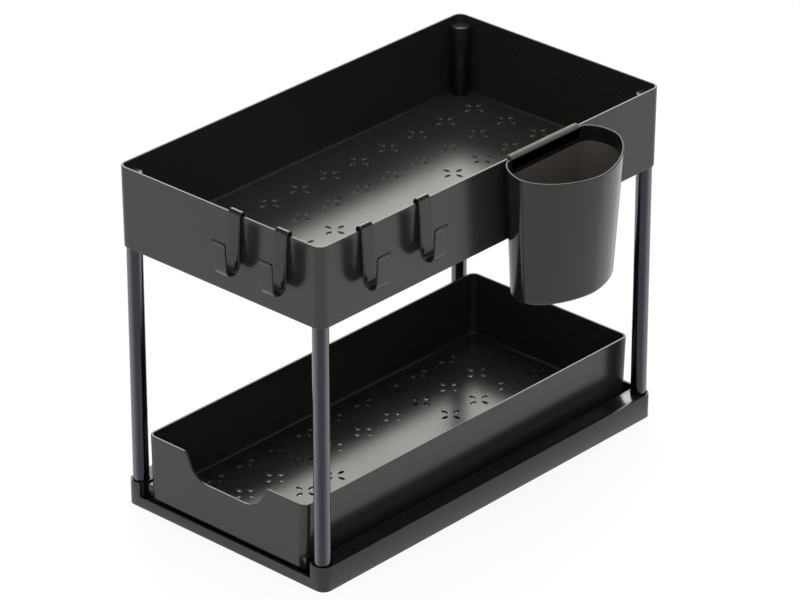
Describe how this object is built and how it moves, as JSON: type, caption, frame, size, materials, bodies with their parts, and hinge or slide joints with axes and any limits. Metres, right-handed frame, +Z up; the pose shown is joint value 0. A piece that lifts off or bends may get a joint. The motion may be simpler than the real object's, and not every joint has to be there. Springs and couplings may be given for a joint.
{
  "type": "under sink organizer",
  "caption": "Tiered organizer: a basket on tubular legs over a base with a sliding drawer, with hooks and a hanging cup on the basket's rim.",
  "frame": {"origin": "centre of the base's underside, on the surface that the organizer stands on", "axes": "+Z up, the drawer opens towards -Y, +X to the right seen from the front"},
  "size_m": [0.273, 0.4106, 0.2973],
  "materials": {
    "black_plastic": "satin black, fine grain",
    "cup_plastic": "smooth black, semi-gloss",
    "leg_metal": "satin black powder coat",
    "hook_plastic": "smooth black",
    "pad_rubber": "matt black"
  },
  "bodies": {
    "frame": {"base_tray": "black_plastic", "upper_basket": "black_plastic", "leg_front_left": "leg_metal", "leg_front_right": "leg_metal", "leg_rear_left": "leg_metal", "leg_rear_right": "leg_metal", "pad_front_left": "pad_rubber", "pad_front_right": "pad_rubber", "pad_rear_left": "pad_rubber", "pad_rear_right": "pad_rubber"},
    "drawer": {"drawer": "black_plastic"},
    "cup": {"hanging_cup": "cup_plastic"},
    "hook_front_left": {"hook_front_left": "hook_plastic"},
    "hook_front_right": {"hook_front_right": "hook_plastic"},
    "hook_side_front": {"hook_side_front": "hook_plastic"},
    "hook_side_rear": {"hook_side_rear": "hook_plastic"}
  },
  "joints": [
    {"name": "drawer_slide", "type": "slide", "parent": "frame", "child": "drawer", "axis": [0, -1, 0], "range_m": [0, 0.28]},
    {"name": "cup_lift", "type": "slide", "parent": "frame", "child": "cup", "axis": [0, 0, 1], "range_m": [0, 0.05]},
    {"name": "hook_front_left_lift", "type": "slide", "parent": "frame", "child": "hook_front_left", "axis": [0, 0, 1], "range_m": [0, 0.05]},
    {"name": "hook_front_right_lift", "type": "slide", "parent": "frame", "child": "hook_front_right", "axis": [0, 0, 1], "range_m": [0, 0.05]},
    {"name": "hook_side_front_lift", "type": "slide", "parent": "frame", "child": "hook_side_front", "axis": [0, 0, 1], "range_m": [0, 0.05]},
    {"name": "hook_side_rear_lift", "type": "slide", "parent": "frame", "child": "hook_side_rear", "axis": [0, 0, 1], "range_m": [0, 0.05]}
  ]
}
